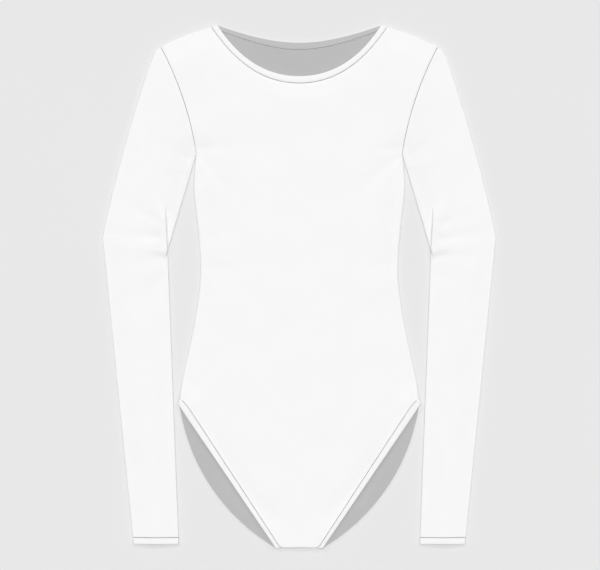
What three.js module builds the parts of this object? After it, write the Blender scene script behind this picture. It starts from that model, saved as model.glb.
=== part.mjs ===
// Long-sleeve leotard with a round neck and high-cut legs, laid out flat on its back.
// Millimetres. +X is the wearer's left, +Y runs from the crotch to the neck, +Z is up.
// The origin is on the surface that it lies on, under the middle of the garment.
// Places below are [across from the centre front, up from the crotch seam].
import * as THREE from "three";

// Driving sizes
const BODY_LENGTH = 700; // from the crotch seam to the high shoulder point
const CLOTH = 1.2; // wall of one layer of jersey
const NECK_BINDING = 1.6; // wall of the folded neck binding
const LEG_BAND = 1.4; // wall of the elastic leg band
const CUFF_BAND = 1.5; // wall of the cuff band
const SEAM = 0.3; // space between two sewn pieces
const LOFT = 2.4; // extra air between the layers, away from the edges
const LOFT_REACH = 32; // how far in from an edge the layers reach that
const CREASE_HEIGHT = 2; // the tucked cloth of the elbow fold
const CREASE_STEP = 0.9; // half the width of its steep side
const CREASE_REACH = 28; // how far it takes to level out on the other side
const CREASE_END = 50; // how far below the elbow the fold has levelled out along the sleeve
const CREASE_RISE = 1.6; // how fast it reaches its full height under its top, as a multiple of its length
const CREASE_FROM_EDGE = 3.5; // nearest that it comes to the inner edge of the sleeve
const CREASE_DRIFT = 0.1; // how far it moves in from that edge for each millimetre below the elbow
const CREASE_FARTHEST_BELOW = 14; // farthest that it lies from the inner edge below the elbow
const CREASE_FARTHEST_ABOVE = 18.5; // the same above the elbow

const LIFT = LEG_BAND + SEAM; // the back panel rides over the band beneath it
const SHEET_TURN = CLOTH + SEAM / 2; // outer radius where one cloth turns over on itself
const NECK_TURN = 1.9; // outer radius where the neck binding turns over the shoulder
const TURN_STEPS = 3; // sections inside each turn

// Landmarks of the right-hand half of the outline
const NECK_POINT = [109.8, BODY_LENGTH];
const NECK_SEAM_POINT = [117.5, 696.8];
const SHOULDER_POINT = [185.3, 669.8];
const ARMPIT = [137.8, 526.7];
const ELBOW_OUTER = [263, 415];
const ELBOW_INNER = [175.8, 396.9];
const CUFF_SEAM_OUTER = [222.6, 14];
const CUFF_SEAM_INNER = [161.2, 14];
const CUFF_OUTER = [221.7, 5.2];
const CUFF_INNER = [160.8, 5.2];
const CREASE_TOP = [179.1, 449.7];
const HIP = [160.4, 191];
const HIP_BAND_TOP = [159.3, 199];
const FRONT_NECK_DEPTH = 69.4;
const BACK_NECK_DEPTH = 24.6;
const NECK_BAND_WIDTH = 9.5;
const CROTCH_SEAM = 1.4; // the leg bands turn over just below it
const BAND_OVERHANG = 1.9; // how far they then reach below the crotch
const FRONT_CROTCH = 32.2;
const BACK_CROTCH = 34;
const LEG_BAND_WIDTH = 7.5;
const LEG_BAND_AT_CROTCH = 6;
const BACK_LEG_BULGE = 25.8;
const BACK_SEAM_BULGE = 23.8;

// The neck's curves: how far each stays level at the centre, and its reach and slope at the shoulder
const NECK_CURVES = {
  frontEdge: { level: 55, reach: 38, slope: 57 },
  frontSeam: { level: 60, reach: 38, slope: 55 },
  backEdge: { level: 34, reach: 44, slope: 19 },
  backSeam: { level: 38, reach: 42, slope: 20.5 },
};

// Places that pull the other curves out of the straight
const SHOULDER_PULL = [162, 682.5];
const FRONT_ARMHOLE_PULLS = [[144, 574.5], [162.5, 628]];
const BACK_ARMHOLE_PULLS = [[147, 575], [165.5, 628]];
const FRONT_EDGE_STRAIGHT_TO = [149, 173];
const FRONT_EDGE_PULL = [156.5, 184];
const FRONT_SEAM_STRAIGHT_TO = [146, 184.5];
const FRONT_SEAM_PULL = [152.5, 194.5];
const BACK_SEAM_ROUND_TO = [151.5, 186];
const BACK_SEAM_PULL = [152, 196];

// How far from the back leg edge each panel still rides over the band, and where it lies flat again
const BACK_RIDES = { full: 11, end: 30 };
const FRONT_RIDES = { full: 15, end: 38 };

const SIDE_SEAM = [
  { at: "top of the leg band", up: 200, across: 159.4 },
  { at: "above the band", up: 212, across: 158.2 },
  { at: "hip", up: 236, across: 154 },
  { at: "high hip", up: 291, across: 142 },
  { at: "under the waist", up: 340, across: 134.2 },
  { at: "waist", up: 379, across: 131.8 },
  { at: "ribs", up: 430, across: 135.6 },
  { at: "bust", up: 481, across: 141 },
];

const SLEEVE_OUTER = [
  { at: "sleeve head", up: 665.8, across: 190.6 },
  { at: "round of the shoulder", up: 658.5, across: 194.5 },
  { at: "shoulder", up: 639, across: 202.2 },
  { at: "deltoid", up: 598.9, across: 215.2 },
  { at: "upper arm", up: 532, across: 234.7 },
  { at: "above the elbow", up: 465, across: 252.1 },
];

// Where the grids of points lie, as shares of each curve's length
const NECK_SHARES = [0, 0.16, 0.32, 0.48, 0.64, 0.8, 0.92, 1];
const SHOULDER_SHARES = [0.3, 0.6, 0.85];
const NECK_COLUMN = 0.62; // share of the half width that the neck takes at the armpit
const TURN_COLUMN = 0.61; // the same, up to where the neck binding starts to turn over
const ARMHOLE_SHARES = [0, 0.08, 0.2, 0.36, 0.53, 0.7, 0.84, 0.94, 1];
const LEG_SHARES = [0, 0.12, 0.26, 0.41, 0.56, 0.71, 0.84, 0.92, 0.97];
const SIDE_SHARES = [0, 0.03, 0.12, 0.25, 0.4, 0.55, 0.7, 0.86];
const UPPER_SHARES = [0, 0.03, 0.09, 0.2, 0.34, 0.48, 0.6, 0.69, 0.77, 0.85, 0.93, 1];
const FOREARM_SHARES = [0.04, 0.12, 0.28, 0.5, 0.75, 1];
const CUFF_SHARES = [0, 0.5, 1];
const OUTER_SHARES = [0.2, 0.45, 0.7, 0.9, 1]; // from the elbow fold to the outer edge of a sleeve
const SETTLED_SECTION = 4; // the section from which the columns of a sleeve follow the fold
const EDGE_STEPS = 40; // short straight lines that stand for a curve where distances are taken

const point = ([x, y]) => new THREE.Vector2(x, y);
const fromRow = ({ across, up }) => new THREE.Vector2(across, up);
const line = (a, b) => new THREE.LineCurve(point(a), point(b));
const mix = (a, b, share) => a + (b - a) * share;

function path(...curves) {
  const joined = new THREE.CurvePath();
  curves.forEach((curve) => joined.add(curve));
  return joined;
}

// Curves between two places, pulled towards one place or two
const bend = (start, pull, end) => new THREE.QuadraticBezierCurve(point(start), point(pull), point(end));
const bendTwice = (start, pulls, end) =>
  new THREE.CubicBezierCurve(point(start), ...pulls.map(point), point(end));

// A rising curve from the centre line to a place, level where it starts and sloped where it ends
function scoop(low, end, { level, reach, slope }) {
  const angle = THREE.MathUtils.degToRad(slope);
  const beforeEnd = [end[0] - reach * Math.cos(angle), end[1] - reach * Math.sin(angle)];
  return bendTwice([0, low], [[level, low], beforeEnd], end);
}

// Unit vector square to the line from a to b, pointing to its left
function leftOf(a, b) {
  const along = point(b).sub(point(a)).normalize();
  return new THREE.Vector2(-along.y, along.x);
}

// A circular arc between two points that stands out to the right of its chord by bulge
function arc(start, end, bulge) {
  const half = point(start).distanceTo(point(end)) / 2;
  const radius = (half * half + bulge * bulge) / (2 * bulge);
  const centre = point(start).lerp(point(end), 0.5);
  centre.addScaledVector(leftOf(start, end), radius - bulge);
  const angleOf = (p) => Math.atan2(p[1] - centre.y, p[0] - centre.x);
  return new THREE.EllipseCurve(centre.x, centre.y, radius, radius, angleOf(start), angleOf(end));
}

// Moves a landmark by a distance along a direction
const shifted = (place, direction, distance) => [
  place[0] + direction.x * distance,
  place[1] + direction.y * distance,
];

// A curve's point at a share of its length, moved to its left
function beside(curve, share, distance) {
  const tangent = curve.getTangentAt(share);
  const left = new THREE.Vector2(-tangent.y, tangent.x);
  return curve.getPointAt(share).addScaledVector(left, distance);
}

// Shares of an edge, kept clear of the turns at both of its ends
const withTurns = (shares, turnShare) => shares.map((share) => mix(turnShare, 1 - turnShare, share));

// Seams and edges of the right-hand half
const overShoulder = leftOf(NECK_POINT, NECK_SEAM_POINT);
const alongShoulder = new THREE.Vector2(overShoulder.y, -overShoulder.x);
const overHip = leftOf(HIP_BAND_TOP, HIP);
const underCrotch = new THREE.Vector2(0, -1);
const neckTurn = shifted(NECK_POINT, overShoulder, -NECK_TURN);
const neckSeamTurn = shifted(NECK_SEAM_POINT, overShoulder, -NECK_TURN);
const frontNeckLow = BODY_LENGTH - FRONT_NECK_DEPTH;
const backNeckLow = BODY_LENGTH - BACK_NECK_DEPTH;

const frontNeckEdge = scoop(frontNeckLow, neckTurn, NECK_CURVES.frontEdge);
const frontNeckSeam = scoop(frontNeckLow - NECK_BAND_WIDTH, neckSeamTurn, NECK_CURVES.frontSeam);
const backNeckEdge = scoop(backNeckLow, neckTurn, NECK_CURVES.backEdge);
const backNeckSeam = scoop(backNeckLow - NECK_BAND_WIDTH, neckSeamTurn, NECK_CURVES.backSeam);
const shoulder = bend(NECK_SEAM_POINT, SHOULDER_PULL, SHOULDER_POINT);
const frontArmhole = bendTwice(ARMPIT, FRONT_ARMHOLE_PULLS, SHOULDER_POINT);
const backArmhole = bendTwice(ARMPIT, BACK_ARMHOLE_PULLS, SHOULDER_POINT);
const sideSeam = new THREE.SplineCurve([point(HIP), ...SIDE_SEAM.map(fromRow), point(ARMPIT)]);
const frontLegEdge = path(
  line([FRONT_CROTCH, CROTCH_SEAM], FRONT_EDGE_STRAIGHT_TO),
  bend(FRONT_EDGE_STRAIGHT_TO, FRONT_EDGE_PULL, HIP),
);
const frontLegSeam = path(
  line([FRONT_CROTCH - LEG_BAND_AT_CROTCH, CROTCH_SEAM], FRONT_SEAM_STRAIGHT_TO),
  bend(FRONT_SEAM_STRAIGHT_TO, FRONT_SEAM_PULL, HIP_BAND_TOP),
);
const backLegEdge = arc([BACK_CROTCH, CROTCH_SEAM], HIP, BACK_LEG_BULGE);
const backLegSeam = path(
  arc([BACK_CROTCH - LEG_BAND_WIDTH, CROTCH_SEAM], BACK_SEAM_ROUND_TO, BACK_SEAM_BULGE),
  bend(BACK_SEAM_ROUND_TO, BACK_SEAM_PULL, HIP_BAND_TOP),
);
const sleeveOuter = new THREE.SplineCurve([
  point(SHOULDER_POINT),
  ...SLEEVE_OUTER.map(fromRow),
  point(ELBOW_OUTER),
]);
const sleeveInner = line(ARMPIT, ELBOW_INNER);
const forearmOuter = line(ELBOW_OUTER, CUFF_SEAM_OUTER);
const forearmInner = line(ELBOW_INNER, CUFF_SEAM_INNER);

// Distance from a place to the nearest of several curves, each taken as short straight lines
function distanceTo(curves) {
  const segments = curves.flatMap((curve) => {
    const points = curve.getSpacedPoints(EDGE_STEPS);
    return points.slice(1).map((end, i) => [points[i], end]);
  });
  return (x, y) => {
    let nearest = Infinity;
    for (const [a, b] of segments) {
      const dx = b.x - a.x;
      const dy = b.y - a.y;
      const along = ((Math.abs(x) - a.x) * dx + (y - a.y) * dy) / (dx * dx + dy * dy);
      const share = THREE.MathUtils.clamp(along, 0, 1);
      nearest = Math.min(nearest, Math.hypot(Math.abs(x) - a.x - dx * share, y - a.y - dy * share));
    }
    return nearest;
  };
}

const toAnEdge = distanceTo([
  shoulder,
  sideSeam,
  sleeveOuter,
  sleeveInner,
  forearmOuter,
  forearmInner,
  frontLegEdge,
  frontNeckEdge,
]);
const toBackLeg = distanceTo([backLegEdge]);

// Heights of the layers above the surface
const loftAt = (x, y) => LOFT * THREE.MathUtils.smoothstep(toAnEdge(x, y), 0, LOFT_REACH);

function liftAt(x, y, { full, end }) {
  return LIFT * (1 - THREE.MathUtils.smoothstep(toBackLeg(x, y), full, end));
}

const backUnder = (x, y) => liftAt(x, y, BACK_RIDES);
const frontUnder = (x, y) => CLOTH + SEAM + liftAt(x, y, FRONT_RIDES) + loftAt(x, y);

// A closed wall between two grids of points with the same rows and columns.
// loop joins the last row to the first, and ring joins the last column to the first.
function wall(outer, inner, { loop = false, ring = false } = {}) {
  const rows = outer.length;
  const columns = outer[0].length;
  const rowSpans = loop ? rows : rows - 1;
  const columnSpans = ring ? columns : columns - 1;
  const out = (i, j) => (i % rows) * columns + (j % columns);
  const into = (i, j) => rows * columns + out(i, j);
  const faces = [];
  const quad = (a, b, c, d) => faces.push(a, b, c, a, c, d);
  for (let i = 0; i < rowSpans; i++) {
    for (let j = 0; j < columnSpans; j++) {
      quad(out(i, j), out(i, j + 1), out(i + 1, j + 1), out(i + 1, j));
      quad(into(i, j), into(i + 1, j), into(i + 1, j + 1), into(i, j + 1));
    }
  }
  if (!loop) {
    const last = rows - 1;
    for (let j = 0; j < columnSpans; j++) {
      quad(out(0, j + 1), out(0, j), into(0, j), into(0, j + 1));
      quad(out(last, j), out(last, j + 1), into(last, j + 1), into(last, j));
    }
  }
  if (!ring) {
    const last = columns - 1;
    for (let i = 0; i < rowSpans; i++) {
      quad(out(i, 0), out(i + 1, 0), into(i + 1, 0), into(i, 0));
      quad(out(i + 1, last), out(i, last), into(i, last), into(i + 1, last));
    }
  }
  const points = [...outer.flat(), ...inner.flat()];
  if (signedVolume(points, faces) < 0) {
    faces.reverse();
  }
  const geometry = new THREE.BufferGeometry().setFromPoints(points).setIndex(faces);
  geometry.computeVertexNormals();
  return geometry;
}

function signedVolume(points, faces) {
  let total = 0;
  for (let i = 0; i < faces.length; i += 3) {
    const [a, b, c] = [points[faces[i]], points[faces[i + 1]], points[faces[i + 2]]];
    total += a.dot(new THREE.Vector3().crossVectors(b, c)) / 6;
  }
  return total;
}

// One body panel: its neck seam and armhole, its leg edge, and the height of its underside
function panel({ neckSeam, armhole, legEdge, under }) {
  const turnShare = SHEET_TURN / armhole.getLength();
  const upArmhole = [0, ...withTurns(ARMHOLE_SHARES, turnShare), 1].map((share) => ({
    share,
    side: beside(armhole, share, SEAM / 2),
  }));
  const armpitSide = upArmhole[0].side;
  const shoulderSide = upArmhole.at(-1).side;

  // Each column runs from a share of the half width below the armpit to a place on the top edge
  const half = [
    ...NECK_SHARES.map((share) => ({
      wide: TURN_COLUMN * share,
      top: beside(neckSeam, share, -SEAM / 2),
    })),
    { wide: NECK_COLUMN, top: point(shifted(NECK_SEAM_POINT, alongShoulder, SEAM)) },
    ...SHOULDER_SHARES.map((share) => ({
      wide: mix(NECK_COLUMN, 1, share),
      top: shoulder.getPointAt(share),
    })),
    { wide: 1, top: shoulderSide },
  ];
  const otherHalf = half.slice(1).map(({ wide, top }) => ({
    wide: -wide,
    top: new THREE.Vector2(-top.x, top.y),
  }));
  const columns = [...otherHalf.reverse(), ...half];

  const sides = [
    ...LEG_SHARES.map((share) => legEdge.getPointAt(share)),
    ...SIDE_SHARES.map((share) => sideSeam.getPointAt(share)),
  ];
  const straight = sides.map((side) =>
    columns.map(({ wide }) => new THREE.Vector2(wide * side.x, side.y)),
  );
  const curved = upArmhole.map(({ share, side }) => {
    const bow = side.clone().sub(armpitSide.clone().lerp(shoulderSide, share));
    return columns.map(({ wide, top }) => {
      const bottom = new THREE.Vector2(wide * armpitSide.x, armpitSide.y);
      return bottom.lerp(top, share).add(new THREE.Vector2(wide * bow.x, bow.y));
    });
  });
  const raise = (extra) => ({ x, y }) => new THREE.Vector3(x, y, under(x, y) + extra);
  const layer = (extra) => [...straight, ...curved].map((row) => row.map(raise(extra)));
  return wall(layer(CLOTH), layer(0));
}

// Where the elbow fold crosses a sleeve section: how far in from the inner edge, and how high it stands
function creaseOn(outer, inner) {
  const across = outer.clone().sub(inner).normalize();
  const up = point(CREASE_TOP).sub(point(ELBOW_INNER));
  const from = point(ELBOW_INNER).sub(inner);
  const distance = from.cross(up) / across.cross(up);
  const y = inner.y + across.y * distance;
  const above = (CREASE_TOP[1] - y) / (CREASE_TOP[1] - ELBOW_INNER[1]);
  const underElbow = ELBOW_INNER[1] - inner.y;
  const share = Math.min(above * CREASE_RISE, 1 - underElbow / CREASE_END);
  const at =
    underElbow > 0
      ? Math.min(CREASE_FROM_EDGE + underElbow * CREASE_DRIFT, CREASE_FARTHEST_BELOW)
      : THREE.MathUtils.clamp(distance, CREASE_FROM_EDGE, CREASE_FARTHEST_ABOVE);
  return { at, height: CREASE_HEIGHT * THREE.MathUtils.clamp(share, 0, 1) };
}

// Distances of a section's columns from its inner edge, the fold's steep side among them
function creaseColumns(width, at) {
  const low = at - CREASE_STEP;
  const high = at + CREASE_STEP;
  return [
    SHEET_TURN,
    (SHEET_TURN + low) / 2,
    low,
    high,
    ...OUTER_SHARES.map((share) => mix(high, width - SHEET_TURN, share)),
  ].map((distance) => distance / width);
}

// Height of the fold at a distance from its line, on the side towards the outer edge
function creaseProfile(distance) {
  if (distance <= CREASE_STEP) {
    return Math.max(0, (distance + CREASE_STEP) / (2 * CREASE_STEP));
  }
  const fade = Math.max(0, 1 - (distance - CREASE_STEP) / CREASE_REACH);
  return fade * fade;
}

// One section of a flattened tube: the outer and inner rings of points of its wall
function tubeSection({ outer, inner, shares, bow, crease, thickness }) {
  const width = outer.distanceTo(inner);
  const across = outer.clone().sub(inner).divideScalar(width);
  const place = (share, armhole) => {
    const straight = point(ARMPIT).lerp(point(SHOULDER_POINT), share);
    const hollow = armhole.getPointAt(share).sub(straight);
    return inner.clone().addScaledVector(across, share * width).addScaledVector(hollow, bow);
  };
  const turn = thickness + SEAM / 2;
  const ring = (depth) => {
    const points = [];
    const radius = turn - depth;
    const roundTurn = (edge, direction, downwards) => {
      const centre = edge.clone().addScaledVector(across, -direction * turn);
      for (let k = 1; k <= TURN_STEPS; k++) {
        const angle = (Math.PI * k) / (TURN_STEPS + 1) - Math.PI / 2;
        const rise = radius * Math.sin(downwards ? -angle : angle);
        const p = centre.clone().addScaledVector(across, direction * radius * Math.cos(angle));
        points.push(new THREE.Vector3(p.x, p.y, turn + rise));
      }
    };
    shares.forEach((share) => {
      const p = place(share, backArmhole);
      points.push(new THREE.Vector3(p.x, p.y, depth));
    });
    roundTurn(outer, 1, false);
    [...shares].reverse().forEach((share) => {
      const p = place(share, frontArmhole);
      const fold = depth > 0 ? 0 : crease.height * creaseProfile(share * width - crease.at);
      const height = 2 * thickness + SEAM - depth + loftAt(p.x, p.y) + fold;
      points.push(new THREE.Vector3(p.x, p.y, height));
    });
    roundTurn(inner, -1, true);
    return points;
  };
  return { outer: ring(0), inner: ring(thickness) };
}

// A tube through its sections, on either side of the body
function tube(sections, side) {
  const mirror = (p) => new THREE.Vector3(side * p.x, p.y, p.z);
  const grid = (name) => sections.map((section) => section[name].map(mirror));
  return wall(grid("outer"), grid("inner"), { ring: true });
}

function sleeveSections() {
  const turnShare = SHEET_TURN / point(SHOULDER_POINT).distanceTo(point(ARMPIT));
  const armholeShares = withTurns(ARMHOLE_SHARES, turnShare);
  const upper = { outerCurve: sleeveOuter, innerCurve: sleeveInner };
  const forearm = { outerCurve: forearmOuter, innerCurve: forearmInner };
  const sections = [
    ...UPPER_SHARES.map((share) => ({ ...upper, share, bow: (1 - share) ** 2 })),
    ...FOREARM_SHARES.map((share) => ({ ...forearm, share, bow: 0 })),
  ];
  return sections.map(({ outerCurve, innerCurve, share, bow }, i) => {
    const outer = outerCurve.getPointAt(share);
    const inner = innerCurve.getPointAt(share);
    if (i === 0) {
      const offSeam = leftOf(ARMPIT, SHOULDER_POINT).multiplyScalar(-SEAM / 2);
      outer.add(offSeam);
      inner.add(offSeam);
    }
    const crease = creaseOn(outer, inner);
    const folded = creaseColumns(outer.distanceTo(inner), crease.at);
    const settled = Math.min(1, i / SETTLED_SECTION);
    const shares = armholeShares.map((armholeShare, j) => mix(armholeShare, folded[j], settled));
    return tubeSection({ outer, inner, shares, bow, crease, thickness: CLOTH });
  });
}

function cuffSections() {
  const flat = { at: CREASE_FARTHEST_BELOW, height: 0 };
  const start = [CUFF_SEAM_OUTER, CUFF_SEAM_INNER].map((p) => point([p[0], p[1] - SEAM]));
  const end = [point(CUFF_OUTER), point(CUFF_INNER)];
  return CUFF_SHARES.map((share) => {
    const outer = start[0].clone().lerp(end[0], share);
    const inner = start[1].clone().lerp(end[1], share);
    const shares = creaseColumns(outer.distanceTo(inner), flat.at);
    return tubeSection({ outer, inner, shares, bow: 0, crease: flat, thickness: CUFF_BAND });
  });
}

// A band's section: the places of its free edge and its sewn edge, each with the middle height of
// the band there, and the direction that its outer face looks in
const bandSection = (edge, seam, edgeHeight, seamHeight, facing) => ({
  edge: new THREE.Vector3(edge.x, edge.y, edgeHeight),
  seam: new THREE.Vector3(seam.x, seam.y, seamHeight),
  facing,
});

// Sections where a band turns over from one layer to the other, standing out in a direction
function turnSections(from, to, direction) {
  return Array.from({ length: TURN_STEPS }, (_, k) => {
    const share = (k + 1) / (TURN_STEPS + 1);
    const out = Math.sin(Math.PI * share);
    const up = Math.cos(Math.PI * share);
    const turned = (a, b) => {
      const radius = Math.abs(a.z - b.z) / 2;
      const p = a.clone().lerp(b, share);
      p.z = mix(a.z, b.z, (1 - up) / 2);
      return p.add(new THREE.Vector3(direction.x, direction.y, 0).multiplyScalar(radius * out));
    };
    return {
      edge: turned(from.edge, to.edge),
      seam: turned(from.seam, to.seam),
      facing: new THREE.Vector3(direction.x * out, direction.y * out, from.facing.z * up),
    };
  });
}

// A closed band through its sections
function band(sections, thickness) {
  const face = (offset) =>
    sections.map(({ edge, seam, facing }) =>
      [edge, seam].map((p) => p.clone().addScaledVector(facing, offset)),
    );
  return wall(face(thickness / 2), face(-thickness / 2), { loop: true });
}

const mirrorSection = ({ edge, seam, facing }) => ({
  edge: new THREE.Vector3(-edge.x, edge.y, edge.z),
  seam: new THREE.Vector3(-seam.x, seam.y, seam.z),
  facing: new THREE.Vector3(-facing.x, facing.y, facing.z),
});

const UP = new THREE.Vector3(0, 0, 1);
const DOWN = new THREE.Vector3(0, 0, -1);

function neckBand() {
  const half = NECK_BINDING / 2;
  const front = NECK_SHARES.map((share) => {
    const edge = frontNeckEdge.getPointAt(share);
    const seam = beside(frontNeckSeam, share, SEAM / 2);
    const heightAt = (p) => NECK_BINDING + SEAM + half + loftAt(p.x, p.y);
    return bandSection(edge, seam, heightAt(edge), heightAt(seam), UP);
  });
  const back = NECK_SHARES.map((share) => {
    const edge = backNeckEdge.getPointAt(share);
    const seam = beside(backNeckSeam, share, SEAM / 2);
    return bandSection(edge, seam, half, half, DOWN);
  }).reverse();
  const right = [...front, ...turnSections(front.at(-1), back[0], overShoulder), ...back];
  const left = right.slice(1, -1).map(mirrorSection).reverse();
  return band([...right, ...left], NECK_BINDING);
}

function legBand(side) {
  const half = LEG_BAND / 2;
  const onFront = (p) => frontUnder(p.x, p.y) + CLOTH + SEAM + half;
  const shares = [...LEG_SHARES, 1];
  const front = shares.map((share) => {
    const edge = frontLegEdge.getPointAt(share);
    const seam = frontLegSeam.getPointAt(share);
    return bandSection(edge, seam, onFront(edge), onFront(seam), UP);
  });
  const back = shares.map((share) => {
    const edge = backLegEdge.getPointAt(share);
    const seam = backLegSeam.getPointAt(share);
    return bandSection(edge, seam, half, half, DOWN);
  }).reverse();
  const right = [
    ...front,
    ...turnSections(front.at(-1), back[0], overHip),
    ...back,
    ...turnSections(back.at(-1), front[0], underCrotch),
  ];
  return band(side > 0 ? right : right.map(mirrorSection), LEG_BAND);
}

const jersey = new THREE.MeshStandardMaterial({ color: 0xf6f6f4, roughness: 0.78, metalness: 0 });
const binding = new THREE.MeshStandardMaterial({ color: 0xf2f2f0, roughness: 0.7, metalness: 0 });

const leotard = new THREE.Group();
leotard.position.y = (BAND_OVERHANG - BODY_LENGTH) / 2;

function sew(name, geometry, material) {
  const mesh = new THREE.Mesh(geometry, material);
  mesh.name = name;
  leotard.add(mesh);
}

const frontPanel = panel({
  neckSeam: frontNeckSeam,
  armhole: frontArmhole,
  legEdge: frontLegEdge,
  under: frontUnder,
});
const backPanel = panel({
  neckSeam: backNeckSeam,
  armhole: backArmhole,
  legEdge: backLegEdge,
  under: backUnder,
});

sew("front_panel", frontPanel, jersey);
sew("back_panel", backPanel, jersey);
sew("neck_band", neckBand(), binding);
for (const { name, side } of [{ name: "left", side: 1 }, { name: "right", side: -1 }]) {
  sew(`sleeve_${name}`, tube(sleeveSections(), side), jersey);
  sew(`cuff_band_${name}`, tube(cuffSections(), side), binding);
  sew(`leg_band_${name}`, legBand(side), binding);
}

export default leotard;
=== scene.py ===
"""A long-sleeve leotard of white jersey, laid out flat on its back on a pale floor.

Sizes are millimetres in the garment's own sheet: across from the centre front, and up from the
crotch. The last step to a mesh turns them into metres in the frame of the solids.
"""
import math

import bpy
import numpy as np
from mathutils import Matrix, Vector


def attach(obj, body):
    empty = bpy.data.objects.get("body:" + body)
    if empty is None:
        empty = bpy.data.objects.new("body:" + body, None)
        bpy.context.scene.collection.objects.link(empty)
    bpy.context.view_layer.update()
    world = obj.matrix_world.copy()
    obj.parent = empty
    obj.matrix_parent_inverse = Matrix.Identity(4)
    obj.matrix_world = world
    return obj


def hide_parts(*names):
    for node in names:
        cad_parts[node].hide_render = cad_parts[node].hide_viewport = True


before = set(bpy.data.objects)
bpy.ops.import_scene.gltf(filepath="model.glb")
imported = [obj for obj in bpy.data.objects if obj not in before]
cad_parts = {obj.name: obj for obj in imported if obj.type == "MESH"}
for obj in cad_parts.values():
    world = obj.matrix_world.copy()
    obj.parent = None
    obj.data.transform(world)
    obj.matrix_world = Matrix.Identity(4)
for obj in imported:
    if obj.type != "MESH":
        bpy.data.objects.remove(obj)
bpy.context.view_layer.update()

join = np.concatenate

# Sizes shared with the solids
BODY_LENGTH = 700.0
BAND_OVERHANG = 1.9
CLOTH = 1.2
NECK_BINDING = 1.6
LEG_BAND = 1.4
CUFF_BAND = 1.5
SEAM = 0.3
LOFT = 2.4
LOFT_REACH = 32.0
LIFT = LEG_BAND + SEAM
NECK_TURN = 1.9

NECK_POINT = (109.8, BODY_LENGTH)
NECK_SEAM_POINT = (117.5, 696.8)
SHOULDER_POINT = (185.3, 669.8)
ARMPIT = (137.8, 526.7)
ELBOW_OUTER = (263.0, 415.0)
ELBOW_INNER = (175.8, 396.9)
CUFF_SEAM_OUTER = (222.6, 14.0)
CUFF_SEAM_INNER = (161.2, 14.0)
CUFF_OUTER = (221.7, 5.2)
CUFF_INNER = (160.8, 5.2)
CREASE_TOP = (179.1, 449.7)
HIP = (160.4, 191.0)
HIP_BAND_TOP = (159.3, 199.0)
FRONT_NECK_DEPTH = 69.4
BACK_NECK_DEPTH = 24.6
NECK_BAND_WIDTH = 9.5
CROTCH_SEAM = 1.4
FRONT_CROTCH = 32.2
BACK_CROTCH = 34.0
LEG_BAND_WIDTH = 7.5
LEG_BAND_AT_CROTCH = 6.0
BACK_LEG_BULGE = 25.8
SHOULDER_BEND = (162, 682.5)
FRONT_ARMHOLE_BENDS = [(144, 574.5), (162.5, 628)]
BACK_ARMHOLE_BENDS = [(147, 575), (165.5, 628)]
FRONT_LEG_BENDS = [(149, 173), (156.5, 184)]  # end of the straight part, bend to the hip
FRONT_LEG_SEAM_BENDS = [(146, 184.5), (152.5, 194.5)]
BACK_LEG_SEAM_BENDS = [(151.5, 186), (152, 196)]
CROTCH_STEP = (21.5, 23.5, 25.5)  # across, where the crotch's fold ends, bends and meets a leg band

NECK_CURVES = {
    # curve: level reach, end reach, end slope in degrees
    "front edge": (55, 38, 57),
    "front seam": (60, 38, 55),
    "back edge": (34, 44, 19),
    "back seam": (38, 42, 20.5),
}

# Sizes of the shown cloth
SHELL = 0.75  # thickness of one layer of jersey
EDGE_TURN = 1.9  # how far in from a sewn outline the cloth starts to turn over
SEAM_TURN = 1.5  # the same at a seam within the garment
SEAM_SINK = 1.1  # how deep the cloth turns into such a seam
UNDER_SINK = 0.55  # the same on the side that lies on the floor
ON_SEAM = 0.02  # a point this close to a seam counts as on it
MEETING = 1.2  # height at which the front and the back are sewn together
SLOT = 0.15  # half of the gap between two layers where they meet
ALLOWANCE_RISE = 0.22  # ridge of the turned-in cloth beside a seam
ALLOWANCE_AT = 4.4
ALLOWANCE_WIDTH = 2.4
PUCKER = 0.09  # small waves that sewing leaves beside a seam
PUCKER_LENGTH = 8.5
PUCKER_REACH = 5.0
PUCKER_SWAY = (1.3, 0.23)  # how much and how slowly the waves drift
PUCKER_SECOND = (0.6, 0.61, 2.1)  # a second row of waves: height, pace and start
CROTCH_FOLD = -0.1  # the lowest line of the cloth, between the leg bands
FRONT_LIFT = (15, 38)  # the front is raised beside a leg edge: fully to here, not from there
BACK_LIFT = (11, 30)
LEG_GROOVE = 0.35  # how deep the cloth sinks along the leg band's seam
LEG_GROOVE_WIDTH = 2.0
LEG_INSET = 0.4  # how far the leg band covers the cut edge of the cloth
BAND_TURN = 1.1  # how far a band stands out where it turns over an edge
BAND_CLEARANCE = 0.16  # room for the stitches under a band
CREASE_SPREAD = (0.75, 0.5)  # share of a crease's width at its start, and what its end adds
CREASE_FADE = 0.65  # share of its depth that a crease has lost at its end

FOLD_OVERLAP = 5.0  # the elbow fold: the forearm's cloth lies over the upper arm's
FOLD_LAYER = 1.55  # rise of one of its two layers
FOLD_DIP = 0.9  # how far the cloth under its lip sinks beside it
FOLD_DIP_WIDTH = 1.5
FOLD_REACH = 30.0  # how far across the sleeve it dies out
FOLD_SPREAD = 1.3  # width of its step where it is open
FOLD_OUTWARD = (3, 12)  # an open step lies outside its line up to here, inside from there
FOLD_OPENS = 5.0  # how far below the elbow its lip has opened out
FOLD_END = 13.0  # how far below the elbow its thickness can be felt
FOLD_AT_TOP = 27.0  # how far in from the underarm edge it ends
FOLD_TOP_CLOSES = 8.0  # how far below its top it starts to open out
FOLD_TOP_FADES = (12.0, 10.0)  # how far below and above its top its thickness dies out
FOLD_DRIFT = (12.0, 30, 100)  # how far its trace moves in below the elbow, from and to where

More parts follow.
